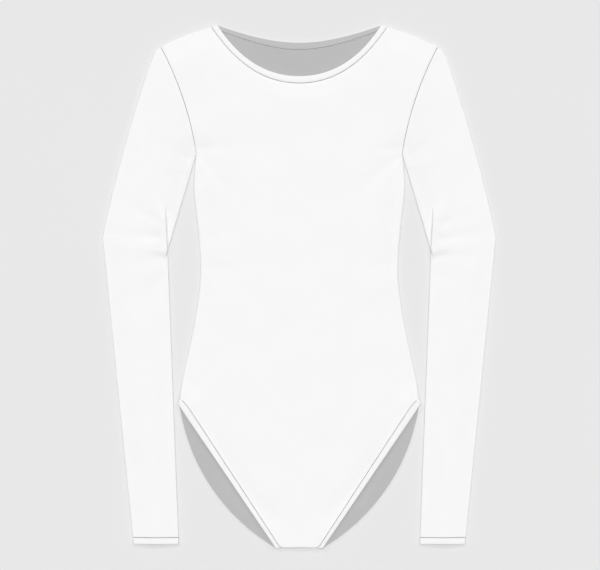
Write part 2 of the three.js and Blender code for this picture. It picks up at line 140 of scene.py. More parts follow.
STITCH_LENGTH = 2.3
STITCH_GAP = 0.6
STITCH_FROM_SEAM = 1.7
THREAD = 0.36  # thickness of the stitches' thread
SEAM_THREAD = 0.6  # the grey thread that shows in a seam
THREAD_DEPTH = 0.42  # how far its middle lies below the cloth on either side
LEG_THREAD_DEPTH = 0.25
LEG_THREAD_BESIDE = 0.3  # how far it lies beside the leg band

STITCH_FORM = [
    # share of its length, share of the thread's thickness, sink as a share of it
    (0.0, 0.35, -0.55), (0.12, 0.8, -0.1), (0.35, 1.0, 0.0),
    (0.65, 1.0, 0.0), (0.88, 0.8, -0.1), (1.0, 0.35, -0.55),
]

BANDS = {
    # band: thickness, height of its crown, height of the stitches' thread over its face
    "neck": (NECK_BINDING, 0.35, 0.24),
    "leg": (LEG_BAND, 0.25, 0.16),
    "cuff": (CUFF_BAND, 0.2, 0.1),
}

SIDE_SEAM = [
    # up, across
    (200.0, 159.4), (212.0, 158.2), (236.0, 154.0), (291.0, 142.0),
    (340.0, 134.2), (379.0, 131.8), (430.0, 135.6), (481.0, 141.0),
]

SLEEVE_OUTER = [
    # up, across
    (665.8, 190.6), (658.5, 194.5), (639.0, 202.2),
    (598.9, 215.2), (532.0, 234.7), (465.0, 252.1),
]

# Soft creases, a little different on the two sides: across and up where each starts and ends, its
# depth and its width. The depth is that of a trough, and a negative one is a ridge.
BODY_CREASES = [
    # armpits
    (132, 521, 70, 472, 0.95, 7),
    (134, 534, 92, 531, 0.62, 6),
    (131, 514, 84, 458, -0.6, 7.5),
    (-132, 521, -76, 462, 0.85, 7.5),
    (-134, 533, -82, 538, 0.7, 6.5),
    (-130, 510, -96, 446, -0.5, 8),
    # waist and ribs
    (127, 384, 74, 370, 0.7, 9),
    (128, 358, 88, 336, -0.55, 8.5),
    (-127, 377, -68, 371, 0.8, 9.5),
    (-131, 412, -90, 426, 0.5, 8),
    # hips
    (146, 205, 104, 238, 0.6, 8),
    (-146, 205, -110, 247, 0.7, 8.5),
    # crotch
    (15, 12, 38, 92, 0.45, 7),
    (-14, 12, -33, 82, 0.5, 7),
    # shoulders
    (160, 664, 146, 618, 0.5, 9),
    (-161, 663, -143, 612, 0.45, 9.5),
    # below the neck
    (62, 622, 50, 584, 0.32, 11),
    (-48, 616, -44, 570, 0.36, 12),
]

BACK_CREASES = [
    # armpits, waist, seat and shoulder blades
    (130, 519, 66, 468, 0.6, 7.5),
    (-131, 522, -74, 484, 0.55, 7),
    (126, 388, 60, 380, 0.5, 9),
    (-126, 372, -76, 362, 0.55, 8.5),
    (62, 70, 84, 150, 0.5, 10),
    (-58, 64, -90, 138, 0.45, 11),
    (150, 640, 118, 600, 0.4, 9),
    (-148, 646, -112, 596, 0.45, 9.5),
]

SLEEVE_CREASES = [
    # the wearer's left sleeve: elbow, armpit, sleeve head, forearm
    (192, 434, 240, 450, 0.8, 8),
    (190, 413, 248, 424, 0.95, 8),
    (188, 392, 242, 388, 0.7, 7.5),
    (194, 401, 238, 405, -0.55, 8),
    (184, 368, 220, 346, 0.55, 8.5),
    (148, 524, 188, 553, 0.8, 7),
    (152, 508, 196, 527, -0.55, 7.5),
    (187, 650, 197, 598, 0.45, 9),
    (178, 196, 208, 170, 0.36, 10),
]

SLEEVE_CREASES_RIGHT = [
    # the same on the right sleeve, mirrored
    (193, 440, 234, 460, 0.7, 8.5),
    (189, 416, 250, 419, 1.0, 7.5),
    (188, 388, 238, 376, 0.62, 8),
    (196, 403, 242, 402, -0.5, 8),
    (183, 360, 214, 332, 0.6, 9),
    (149, 521, 192, 544, 0.7, 7.5),
    (151, 504, 190, 513, -0.5, 8),
    (188, 646, 200, 606, 0.4, 9.5),
    (180, 236, 212, 218, 0.32, 10),
]

UNDERARM_CREASES = [
    # under both sleeves
    (190, 426, 236, 436, 0.5, 7.5),
    (188, 396, 244, 400, 0.6, 7.5),
    (150, 518, 184, 536, 0.45, 7),
    (176, 250, 204, 232, 0.35, 9),
]

# Long, low waves of cloth that was smoothed by hand
WAVES = [
    # length, height, direction in degrees, start
    (118.0, 0.22, 24.0, 0.4),
    (83.0, 0.16, 103.0, 1.9),
    (61.0, 0.1, 61.0, 3.2),
    (47.0, 0.06, 148.0, 5.0),
]


# Curves on the sheet
CURVE_POINTS = 241
SPLINE_POINTS = 41
SEAM_SPANS = 96
TURN_STEPS = 6


def unit(vectors):
    return vectors / np.linalg.norm(vectors, axis=-1, keepdims=True)


def lengths(points):
    """Distance along a line at each of its points."""
    return join([[0.0], np.cumsum(np.linalg.norm(np.diff(points, axis=0), axis=1))])


def read(values, along, places):
    """Values given along a line, read at places along it."""
    return np.stack([np.interp(places, along, column) for column in values.T], axis=-1)


class Path:
    """A curve through close points, read at shares of its length."""

    def __init__(self, points):
        self.points = np.asarray(points, float)
        self.along = lengths(self.points)
        self.length = self.along[-1]

    def at(self, share):
        return read(self.points, self.along, np.asarray(share) * self.length)

    def left(self, share):
        """Unit vectors square to the curve, to its left."""
        share = np.asarray(share, float)
        step = 1e-3
        t = unit(self.at(np.clip(share + step, 0, 1)) - self.at(np.clip(share - step, 0, 1)))
        return np.stack([-t[..., 1], t[..., 0]], axis=-1)

    def beside(self, share, distance):
        return self.at(share) + np.asarray(distance)[..., None] * self.left(share)


def bezier(*controls):
    t = np.linspace(0, 1, CURVE_POINTS)[:, None]
    level = [np.asarray(c, float)[None, :] for c in controls]
    while len(level) > 1:
        level = [a + (b - a) * t for a, b in zip(level, level[1:])]
    return Path(level[0])


def spline(points):
    p = np.asarray(points, float)
    t = np.linspace(0, 1, SPLINE_POINTS)[:, None]
    out = []
    for i in range(len(p) - 1):
        p0, p1, p2, p3 = p[max(i - 1, 0)], p[i], p[i + 1], p[min(i + 2, len(p) - 1)]
        v0, v1 = (p2 - p0) / 2, (p3 - p1) / 2
        cubic = (2 * p1 - 2 * p2 + v0 + v1) * t**3 + (-3 * p1 + 3 * p2 - 2 * v0 - v1) * t**2
        out.append((cubic + v0 * t + p1)[:-1])
    out.append(p[-1:])
    return Path(join(out))


def line(a, b):
    return bezier(a, b)


def joined(*paths):
    return Path(join([paths[0].points] + [p.points[1:] for p in paths[1:]]))


def left_of(a, b):
    along = unit(np.subtract(b, a))
    return np.array([-along[1], along[0]])


def scoop(low, end, curve):
    """A rising curve from the centre line, level at first and sloped where it ends."""
    level_reach, end_reach, end_slope = NECK_CURVES[curve]
    angle = math.radians(end_slope)
    last = (end[0] - end_reach * math.cos(angle), end[1] - end_reach * math.sin(angle))
    return bezier((0, low), (level_reach, low), last, end)


def arc(start, end, bulge):
    """A circular arc that stands out to the right of its chord by bulge."""
    start, end = np.asarray(start, float), np.asarray(end, float)
    half = np.linalg.norm(end - start) / 2
    radius = (half**2 + bulge**2) / (2 * bulge)
    centre = (start + end) / 2 + (radius - bulge) * left_of(start, end)
    a, b = (math.atan2(*(p - centre)[::-1]) for p in (start, end))
    angle = np.linspace(a, b, CURVE_POINTS)
    return Path(centre + radius * np.stack([np.cos(angle), np.sin(angle)], axis=-1))


OVER_SHOULDER = left_of(NECK_POINT, NECK_SEAM_POINT)
OVER_HIP = left_of(HIP_BAND_TOP, HIP)
UNDER_CROTCH = np.array([0.0, -1.0])
neck_turn = np.subtract(NECK_POINT, NECK_TURN * OVER_SHOULDER)
neck_seam_turn = np.subtract(NECK_SEAM_POINT, NECK_TURN * OVER_SHOULDER)
front_neck_low = BODY_LENGTH - FRONT_NECK_DEPTH
back_neck_low = BODY_LENGTH - BACK_NECK_DEPTH
front_neck_edge = scoop(front_neck_low, neck_turn, "front edge")
front_neck_seam = scoop(front_neck_low - NECK_BAND_WIDTH, neck_seam_turn, "front seam")
back_neck_edge = scoop(back_neck_low, neck_turn, "back edge")
back_neck_seam = scoop(back_neck_low - NECK_BAND_WIDTH, neck_seam_turn, "back seam")
shoulder = bezier(NECK_SEAM_POINT, SHOULDER_BEND, SHOULDER_POINT)
front_armhole = bezier(ARMPIT, *FRONT_ARMHOLE_BENDS, SHOULDER_POINT)
back_armhole = bezier(ARMPIT, *BACK_ARMHOLE_BENDS, SHOULDER_POINT)
side_seam = spline([HIP, *[(across, up) for up, across in SIDE_SEAM], ARMPIT])
front_leg_edge = joined(
    line((FRONT_CROTCH, CROTCH_SEAM), FRONT_LEG_BENDS[0]), bezier(*FRONT_LEG_BENDS, HIP)
)
front_leg_seam = joined(
    line((FRONT_CROTCH - LEG_BAND_AT_CROTCH, CROTCH_SEAM), FRONT_LEG_SEAM_BENDS[0]),
    bezier(*FRONT_LEG_SEAM_BENDS, HIP_BAND_TOP),
)
back_leg_edge = arc((BACK_CROTCH, CROTCH_SEAM), HIP, BACK_LEG_BULGE)
back_leg_seam = joined(
    arc((BACK_CROTCH - LEG_BAND_WIDTH, CROTCH_SEAM), BACK_LEG_SEAM_BENDS[0], BACK_LEG_BULGE - 2),
    bezier(*BACK_LEG_SEAM_BENDS, HIP_BAND_TOP),
)
sleeve_outer = spline([SHOULDER_POINT, *[(across, up) for up, across in SLEEVE_OUTER], ELBOW_OUTER])
sleeve_inner = line(ARMPIT, ELBOW_INNER)
forearm_outer = line(ELBOW_OUTER, CUFF_SEAM_OUTER)
forearm_inner = line(ELBOW_INNER, CUFF_SEAM_INNER)
cuff_seam = line(CUFF_SEAM_INNER, CUFF_SEAM_OUTER)
folded, bent, banded = CROTCH_STEP
crotch_edge = joined(
    line((0, CROTCH_FOLD), (folded, CROTCH_FOLD)),
    bezier((folded, CROTCH_FOLD), (bent, CROTCH_FOLD), (bent, CROTCH_SEAM), (banded, CROTCH_SEAM)),
    line((banded, CROTCH_SEAM), (BACK_CROTCH, CROTCH_SEAM)),
)


def nearest(points, *paths):
    """Distance from each point to the nearest path, and the length along it there."""
    p = points.reshape(-1, 2).copy()
    p[:, 0] = np.abs(p[:, 0])
    best = np.full(len(p), np.inf)
    along = np.zeros(len(p))
    offset = 0.0
    for path in paths:
        knots = path.at(np.linspace(0, 1, SEAM_SPANS + 1))
        for i, (a, b) in enumerate(zip(knots[:-1], knots[1:])):
            d = b - a
            t = np.clip(((p - a) @ d) / (d @ d), 0, 1)
            distance = np.linalg.norm(p - a - t[:, None] * d, axis=1)
            closer = distance < best
            best = np.where(closer, distance, best)
            along = np.where(closer, offset + (i + t) * path.length / SEAM_SPANS, along)
        offset += path.length
    shape = points.shape[:-1]
    return best.reshape(shape), along.reshape(shape)


def smoothstep(x, low, high):
    t = np.clip((x - low) / (high - low), 0, 1)
    return t * t * (3 - 2 * t)


def turned(distance, reach):
    """How far round a turned edge the cloth is: 1 at the seam, 0 from the reach inwards."""
    inward = np.clip(1 - (distance - ON_SEAM) / reach, 0, 1)
    return 1 - np.sqrt(1 - inward**2)


def turn_steps(reach):
    """Distances from a seam that follow a quarter circle."""
    return reach * (1 - np.cos(np.linspace(0, math.pi / 2, TURN_STEPS + 1)))


OUTLINE = (
    shoulder, side_seam, sleeve_outer, sleeve_inner, forearm_outer, forearm_inner,
    front_leg_edge, front_neck_edge,
)
FRONT_SEAMS = [
    # seam, share of the allowance's ridge, start of its waves
    (side_seam, 1.0, 0.0),
    (shoulder, 0.5, 1.0),
    (front_armhole, 0.2, 2.0),
    (front_neck_seam, 0.9, 0.5),
    (crotch_edge, 1.0, 0.2),
]
SLEEVE_SEAMS = [
    (front_armhole, 1.0, 2.0),
    (cuff_seam, 0.7, 0.3),
    (sleeve_inner, 0.8, 0.7),
    (forearm_inner, 0.8, 0.7),
]


def loft_at(points):
    return LOFT * smoothstep(nearest(points, *OUTLINE)[0], 0, LOFT_REACH)


def lift_at(points, reach):
    """Height that the leg band below adds beside the back's leg edge."""
    return LIFT * (1 - smoothstep(nearest(points, back_leg_edge)[0], *reach))


def crease_depth(points, creases):
    """Height that the soft creases add, below zero in a trough."""
    total = np.zeros(points.shape[:-1])
    for *ends, depth, width in creases:
        a, b = np.reshape(ends, (2, 2)).astype(float)
        d = b - a
        t = np.clip(((points - a) @ d) / (d @ d), 0, 1)
        across = np.linalg.norm(points - (a + t[..., None] * d), axis=-1)
        spread = width * (CREASE_SPREAD[0] + CREASE_SPREAD[1] * t)
        total -= depth * (1 - CREASE_FADE * t) * np.exp(-((across / spread) ** 2))
    return total


def sewn(points, path, allowance, phase):
    """Height beside a seam: a low ridge over its allowance, and the small waves of sewing."""
    distance, along = nearest(points, path)
    rise = allowance * ALLOWANCE_RISE * np.exp(-(((distance - ALLOWANCE_AT) / ALLOWANCE_WIDTH) ** 2))
    turn = 2 * math.pi * along / PUCKER_LENGTH + phase
    sway, slowness = PUCKER_SWAY
    height, pace, start = PUCKER_SECOND
    waves = np.sin(turn + sway * np.sin(turn * slowness)) + height * np.sin(turn * pace + start)
    return rise + PUCKER * waves * np.exp(-((distance / PUCKER_REACH) ** 2))


def all_sewn(points, seams):
    return sum(sewn(points, *seam) for seam in seams)


def wavy(points, phase=0.0):
    """The long, low waves, which die out towards the edges."""
    total = np.zeros(points.shape[:-1])
    for length, height, direction, start in WAVES:
        angle = math.radians(direction)
        across = points[..., 0] * math.cos(angle) + points[..., 1] * math.sin(angle)
        total += height * np.sin(2 * math.pi * across / length + start + phase)
    return total * loft_at(points) / LOFT


# Meshes
def to_row(points):
    """Sheet millimetres to metres in the frame of the solids."""
    out = np.array(points, float)
    out[..., 1] -= (BODY_LENGTH - BAND_OVERHANG) / 2
    return out / 1000


def signed_volume(vertices, quads):
    a, b, c, d = (vertices[quads[:, k]] for k in range(4))
    six = np.einsum("ij,ij->i", a, np.cross(b, c)) + np.einsum("ij,ij->i", a, np.cross(c, d))
    return six.sum() / 6


def add_mesh(name, vertices, quads, corner_uv, face_material, materials):
    """A smooth mesh of four-sided faces, turned to face out, riding on the garment's body."""
    vertices = to_row(vertices)
    if signed_volume(vertices, quads) < 0:
        quads, corner_uv = quads[:, ::-1], corner_uv[:, ::-1]
    mesh = bpy.data.meshes.new(name)
    mesh.from_pydata(vertices, [], quads)
    for material in materials:
        mesh.materials.append(material)
    mesh.polygons.foreach_set("material_index", face_material.astype(np.int32))
    mesh.uv_layers.new(name="sheet").data.foreach_set("uv", (corner_uv / 1000).ravel())
    mesh.validate()
    mesh.shade_smooth()
    obj = bpy.data.objects.new(name, mesh)
    bpy.context.scene.collection.objects.link(obj)
    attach(obj, "root")
    return obj


def patch_quads(rows, columns, row_spans, column_spans, start=0):
    i, j = np.meshgrid(np.arange(row_spans), np.arange(column_spans), indexing="ij")
    i2, j2 = (i + 1) % rows, (j + 1) % columns
    corners = [i * columns + j, i * columns + j2, i2 * columns + j2, i2 * columns + j]
    return start + np.stack([c.ravel() for c in corners], axis=-1)


def patch_uv(uv, row_spans, column_spans):
    return uv.reshape(-1, 2)[patch_quads(*uv.shape[:2], row_spans, column_spans)]


def surface_normals(grid, ring=False):
    """Unit vectors square to a grid of points."""
    down = np.gradient(grid, axis=0)
    across = np.roll(grid, -1, 1) - np.roll(grid, 1, 1) if ring else np.gradient(grid, axis=1)
    normals = np.cross(across, down)
    return normals / (np.linalg.norm(normals, axis=-1, keepdims=True) + 1e-12)


RIM_STEPS = 6


def rim(outer, inner, index, uv, roundness):
    """The rounded edge between the borders of the outer and the inner grid, as one closed ring."""
    top, bottom = outer[index], inner[index]
    middle, half = (top + bottom) / 2, (top - bottom) / 2
    along = np.roll(middle, -1, 0) - np.roll(middle, 1, 0)
    out = np.cross(along, half)
    out /= np.linalg.norm(out, axis=1, keepdims=True) + 1e-12
    out *= np.sign(np.sum(out * (middle - outer.mean(axis=0))))
    angles = np.linspace(-math.pi / 2, math.pi / 2, RIM_STEPS)[1:-1]
    rings = [middle - half * math.sin(a) + out * roundness[:, None] * math.cos(a) for a in angles]
    added = 2 * len(outer) + np.arange(len(rings) * len(index)).reshape(len(rings), -1)
    lines = [index, *added, index + len(outer)]
    quads, corner_uv = [], []
    uv = uv[index]
    for a, b in zip(lines[:-1], lines[1:]):
        quads.append(np.stack([a, np.roll(a, -1), np.roll(b, -1), b], axis=-1))
        corner_uv.append(np.stack([uv, np.roll(uv, -1, 0), np.roll(uv, -1, 0), uv], axis=1))
    return join(rings), join(quads), join(corner_uv)


def cloth(name, outer, inner, uv, ring=False, cut_edges=()):
    """A closed sheet of jersey between two grids of points."""
    rows, columns = outer.shape[:2]
    column_spans = columns if ring else columns - 1
    count = rows * columns
    face_out = patch_quads(rows, columns, rows - 1, column_spans)[:, ::-1]
    face_in = patch_quads(rows, columns, rows - 1, column_spans, count)
    index = np.arange(count).reshape(rows, columns)
    flat_uv = uv.reshape(-1, 2)
    if ring:
        borders = [index[0], index[-1][::-1]]
        uv = join([uv, uv[:, -1:] + (uv[:, -1:] - uv[:, -2:-1])], axis=1)
    else:
        borders = [join([index[0], index[1:, -1], index[-1, -2::-1], index[-2:0:-1, 0]])]
    uv_out = patch_uv(uv, rows - 1, column_spans)
    vertices = [outer.reshape(-1, 3), inner.reshape(-1, 3)]
    quads, corner_uv, slots = [face_out, face_in], [uv_out[:, ::-1], uv_out], [0, 1]
    added = 0
    for border in borders:
        roundness = np.full(len(border), SLOT)
        if cut_edges:
            near = nearest(vertices[0][border][:, :2], *cut_edges)[0]
            roundness = SLOT + (SHELL / 2 - SLOT) * (1 - smoothstep(near, 0.3, 1.2))
        points, faces, face_uv = rim(vertices[0], vertices[1], border, flat_uv, roundness)
        faces = np.where(faces >= 2 * count, faces + added, faces)
        added += len(points)
        vertices.append(points)
        quads.append(faces)
        corner_uv.append(face_uv)
        slots.append(0)
    slot_of = np.repeat(slots, [len(q) for q in quads])
    vertices, quads, corner_uv = (join(parts) for parts in (vertices, quads, corner_uv))
    return add_mesh(name, vertices, quads, corner_uv, slot_of, [OUTSIDE, INSIDE])


# Materials
class Nodes:
    """Short words for building the node tree of a material or a world."""

    def __init__(self, owner, shader="Principled BSDF"):
        owner.use_nodes = True
        self.owner = owner
        self.tree = owner.node_tree
        self.shader = self.tree.nodes[shader]

    def add(self, kind, inputs=None, **settings):
        node = self.tree.nodes.new(kind)
        for key, value in settings.items():
            setattr(node, key, value)
        self.feed(node, inputs or {})
        return node.outputs

    def feed(self, node, inputs):
        for key, value in inputs.items():
            if isinstance(value, bpy.types.NodeSocket):
                self.tree.links.new(value, node.inputs[key])
            else:
                node.inputs[key].default_value = value

    def math(self, operation, *values):
        return self.add("ShaderNodeMath", dict(enumerate(values)), operation=operation)[0]

    def plus(self, a, b):
        return self.math("ADD", a, b)

    def times(self, a, b):
        return self.math("MULTIPLY", a, b)

    def noise(self, vector, scale, detail=2.0, roughness=0.5):
        inputs = {"Vector": vector, "Scale": scale, "Detail": detail, "Roughness": roughness}
        return self.add("ShaderNodeTexNoise", inputs)["Fac"]

    def mix(self, factor, a, b):
        return self.add("ShaderNodeMix", {0: factor, 6: a, 7: b}, data_type="RGBA")[2]

    def bump(self, height, distance, strength, **normal):
        inputs = {"Height": height, "Distance": distance, "Strength": strength, **normal}
        return self.add("ShaderNodeBump", inputs)["Normal"]


def grey(value):
    return (value, value, value, 1.0)


PLAIN_LOOPS = (1.3, 0.6)  # lean of a loop's legs, share of its column in the height
PURL_LOOPS = (-0.9, 0.25)
KNIT_RELIEF = (0.00009, 0.55)  # height in metres, strength
SLUB_RELIEF = (0.0006, 0.35)
FUZZ_RELIEF = (0.00006, 0.4)
JERSEY_ROUGHNESS = 0.77


def jersey(name, light, shade, wale, course, purl=False, sheen=0.12):
    """Single jersey: columns of V-shaped loops outside, rows of rounded loops inside. wale and
    course are the millimetres from one column and from one row to the next."""
    n = Nodes(bpy.data.materials.new(name))
    place = n.add("ShaderNodeUVMap", uv_map="sheet")[0]
    part = n.add("ShaderNodeSeparateXYZ", {0: place})
    wobble = n.noise(place, 90.0)
    across = n.plus(n.times(part[0], 1000 / wale), n.times(wobble, 0.5))
    along = n.times(part[1], 1000 / course)
    side = n.math("PINGPONG", across, 0.5)
    lean, share = PURL_LOOPS if purl else PLAIN_LOOPS
    loops = n.math("SINE", n.times(n.plus(along, n.times(side, lean)), 2 * math.pi))
    column = n.math("SINE", n.times(side, 2 * math.pi))
    height = n.plus(n.times(column, share), n.times(loops, 0.5 * (1 - share)))
    fuzz = n.noise(place, 2600.0, 3.0, 0.6)
    slub = n.noise(place, 26.0, 3.0, 0.55)
    knit = n.bump(slub, *SLUB_RELIEF, Normal=n.bump(height, *KNIT_RELIEF))
    # The colour is partly random slub tone and partly painted shade: it is darker where the knit's loops
    # lie low.
    tone = n.plus(n.times(slub, 0.6), n.times(height, 0.35))
    n.feed(n.shader, {
        "Normal": n.bump(fuzz, *FUZZ_RELIEF, Normal=knit),
        "Base Color": n.mix(n.plus(tone, 0.1), shade, light),
        "Roughness": n.plus(n.times(fuzz, 0.1), JERSEY_ROUGHNESS),
        "Sheen Weight": sheen,
        "Sheen Roughness": 0.45,
        "Specular IOR Level": 0.28,
    })
    return n.owner


def thread(name, light, shade):
    """Twisted sewing thread. Its colour is darker in the grooves of its twist, as painted shade."""
    n = Nodes(bpy.data.materials.new(name))
    inputs = {"Vector": n.add("ShaderNodeTexCoord")["Object"], "Scale": 900.0}
    wave = n.add("ShaderNodeTexWave", inputs, wave_type="BANDS", bands_direction="DIAGONAL")["Fac"]
    n.feed(n.shader, {
        # Painted shade: the colour follows the twist's bands and is darker in its grooves.
        "Base Color": n.mix(wave, shade, light),
        "Normal": n.bump(wave, 0.00004, 0.6),
        "Roughness": 0.55,
        "Sheen Weight": 0.1,
    })
    return n.owner


OUTSIDE = jersey("jersey_outside", grey(0.9), grey(0.86), 0.95, 0.8)
# The wrong side is coloured grey as painted shade. It stands for the shade inside the garment where that
# shows through the neck and leg openings.
INSIDE = jersey("jersey_inside_painted_shade", grey(0.495), grey(0.45), 0.95, 0.62, purl=True, sheen=0.05)
BINDING = jersey("binding_outside", grey(0.9), grey(0.85), 0.8, 0.95)
# The bands' inner face is coloured grey as painted shade, like the jersey's wrong side, where the neck
# band shows inside the back.
BINDING_INSIDE = jersey("binding_inside_painted_shade", grey(0.53), grey(0.475), 0.8, 0.95, sheen=0.05)
THREAD_WHITE = thread("thread_white", grey(0.86), grey(0.78))
THREAD_GREY = thread("thread_grey", grey(0.3), grey(0.22))


# Body panels
NECK_COLUMNS = 40
SHOULDER_COLUMNS = 18
LEG_ROWS = 46
SIDE_ROWS = 74
ARMHOLE_ROWS = 48
NECK_COLUMN = 0.62  # share of the half width where the shoulder starts
TURN_COLUMN = 0.61  # and where the neck ends
HALF_WIDTH = 145.0
CROTCH_REACH = 14.0  # how far up the cloth follows the crotch's fold
INSET_RAMPS = (0.04, 0.94)  # shares of the leg edge where its inset is full from and to
ALONG_SHOULDER = np.array([OVER_SHOULDER[1], -OVER_SHOULDER[0]])


def edge_shares(count, crowd=0.55):
    """Shares from 0 to 1 that lie closer together at both ends."""
    t = np.linspace(0, 1, count)
    return (1 - crowd) * t + crowd * (1 - np.cos(math.pi * t)) / 2


def with_turn(shares, length, reach, at_start=False, at_end=False):
    """Shares of a length, with those of a turned edge in place of the first or the last ones."""
    steps = turn_steps(reach) / length
    room = 1.6 * steps[-1]
    if at_start:
        shares = join([steps, shares[shares > room]])
    if at_end:
        shares = join([shares[shares < 1 - room], 1 - steps[::-1]])
    return shares


def panel_sheet(neck_seam, armhole, leg_edge):
    """The places of a body panel's grid, a row for each height."""
    up = with_turn(edge_shares(ARMHOLE_ROWS), SHOULDER_POINT[1] - ARMPIT[1], EDGE_TURN, at_end=True)
    side = armhole.beside(up, SEAM / 2)
    neck = np.linspace(0, 1, NECK_COLUMNS)
    neck_top = neck_seam.beside(neck, -SEAM / 2)
    corner = np.asarray(NECK_SEAM_POINT) + SEAM * ALONG_SHOULDER
    shoulder_room = HALF_WIDTH * (1 - NECK_COLUMN)
    shares = with_turn(edge_shares(SHOULDER_COLUMNS + 2), shoulder_room, EDGE_TURN, at_end=True)[1:-1]
    beyond = NECK_COLUMN + (1 - NECK_COLUMN) * shares
    wide = join([TURN_COLUMN * neck, [NECK_COLUMN], beyond, [1]])
    along_shoulder = shoulder.at(shares) + shares[:, None] * (side[-1] - SHOULDER_POINT)
    top = join([neck_top, [corner], along_shoulder, side[-1:]])
    wide = join([-wide[:0:-1], wide])
    top = join([top[:0:-1] * (-1, 1), top])
    leg_shares = with_turn(edge_shares(LEG_ROWS, 0.4), leg_edge.length, EDGE_TURN, at_start=True)
    ramps = smoothstep(leg_shares, 0, INSET_RAMPS[0]) * (1 - smoothstep(leg_shares, INSET_RAMPS[1], 1))
    legs = leg_edge.beside(leg_shares, LEG_INSET * ramps)[:-1]
    sides = side_seam.at(edge_shares(SIDE_ROWS, 0.3)[:-1])
    lower = join([legs, sides])
    straight = np.stack([lower[:, None, 0] * wide, np.repeat(lower[:, 1:], len(wide), 1)], axis=-1)
    room = CROTCH_SEAM - np.interp(np.abs(straight[..., 0]), *crotch_edge.points.T)
    straight[..., 1] -= room * (1 - smoothstep(straight[..., 1], CROTCH_SEAM, CROTCH_SEAM + CROTCH_REACH))
    bend = side - (side[0] + up[:, None] * (side[-1] - side[0]))
    bottom = np.stack([wide * side[0, 0], np.full(len(wide), side[0, 1])], axis=-1)
    curved = bottom + up[:, None, None] * (top - bottom)
    curved += np.stack([wide * bend[:, None, 0], np.repeat(bend[:, 1:], len(wide), 1)], axis=-1)
    return join([straight, curved])


def with_height(sheet, height):
    return join([sheet, height[..., None]], axis=-1)


def to_meeting(sheet, height, gap):
    """The heights, turned at the sewn outline to where the front and the back meet."""
    edges = turned(nearest(sheet, side_seam, shoulder, crotch_edge)[0], EDGE_TURN)
    return height + (MEETING + lift_at(sheet, FRONT_LIFT) + gap - height) * edges


def front_height(sheet, sink):
    """Height of the front's outer face, sunk beside the seams."""
    top = 2 * CLOTH + SEAM + lift_at(sheet, FRONT_LIFT) + loft_at(sheet) + all_sewn(sheet, FRONT_SEAMS)
    return to_meeting(sheet, top + crease_depth(sheet, BODY_CREASES) + wavy(sheet) - sink, SLOT)


def front_panel():
    sheet = panel_sheet(front_neck_seam, front_armhole, front_leg_edge)
    sink = SEAM_SINK * turned(nearest(sheet, front_armhole, front_neck_seam)[0], SEAM_TURN)
    sink += LEG_GROOVE * np.exp(-((nearest(sheet, front_leg_seam)[0] / LEG_GROOVE_WIDTH) ** 2))
    outer = with_height(sheet, front_height(sheet, sink))
    inner = outer - SHELL * surface_normals(outer)
    return cloth("front_cloth", outer, inner, sheet, cut_edges=[front_leg_edge])


def back_panel():
    sheet = panel_sheet(back_neck_seam, back_armhole, back_leg_edge)
    under = lift_at(sheet, BACK_LIFT) - crease_depth(sheet, BACK_CREASES)
    under += UNDER_SINK * turned(nearest(sheet, back_armhole, back_neck_seam)[0], SEAM_TURN)
    outer = with_height(sheet, to_meeting(sheet, under, -SLOT))
    inner = outer + SHELL * surface_normals(outer)
    return cloth("back_cloth", outer, inner, sheet, cut_edges=[back_leg_edge])


# Sleeves
UPPER_SECTIONS = 96
FORE_SECTIONS = 104
UNDER_COLUMNS = 30
TURN_COLUMNS = 11
ARM_COLUMNS = 32  # between the inner edge and the elbow fold
TUCK_COLUMNS = 5
OVER_COLUMNS = 44
UPRIGHT = (2 * CLOTH + SEAM - SHELL) / 2  # middle radius of the cloth where a flat tube turns over
SEAM_IN_EDGE = 0.3  # how far the underarm seam is drawn into the inner edge
SEAM_IN_EDGE_WIDTH = 0.3  # half of its width, as an angle round the edge
FOLD_CLEARANCE = 0.1
FOLD_DIP_BESIDE = 0.2
FORM_FULL = 4.0  # how far in from an edge the creases reach their depth
UPPER_LENGTH = 165.0
FORE_LENGTH = 390.0


def crease_on(outer, inner):
    """Where the elbow fold lies on a section, in from the inner edge, how closed and how high it is."""
    across = (outer - inner) / np.linalg.norm(outer - inner)
    up = np.subtract(CREASE_TOP, ELBOW_INNER)
    start = np.subtract(ELBOW_INNER, inner)
    distance = (start[0] * up[1] - start[1] * up[0]) / (across[0] * up[1] - across[1] * up[0])
    height = inner[1] + across[1] * distance
    flush, clear = SHELL / 2, UPRIGHT + SHELL / 2 + FOLD_CLEARANCE
    below = ELBOW_INNER[1] - inner[1]
    if below > 0:
        closed, raised = 1 - smoothstep(below, 0, FOLD_OPENS), 1 - smoothstep(below, 0, FOLD_END)
        drift, first, last = FOLD_DRIFT
        place = flush + (clear - flush) * (1 - closed) + drift * smoothstep(below, first, last)
        return place, closed, raised
    top = CREASE_TOP[1]
    closed = 1 - smoothstep(height, top - FOLD_TOP_CLOSES, top)
    raised = 1 - smoothstep(height, top - FOLD_TOP_FADES[0], top + FOLD_TOP_FADES[1])
    return min(max(distance, flush), FOLD_AT_TOP), closed, raised


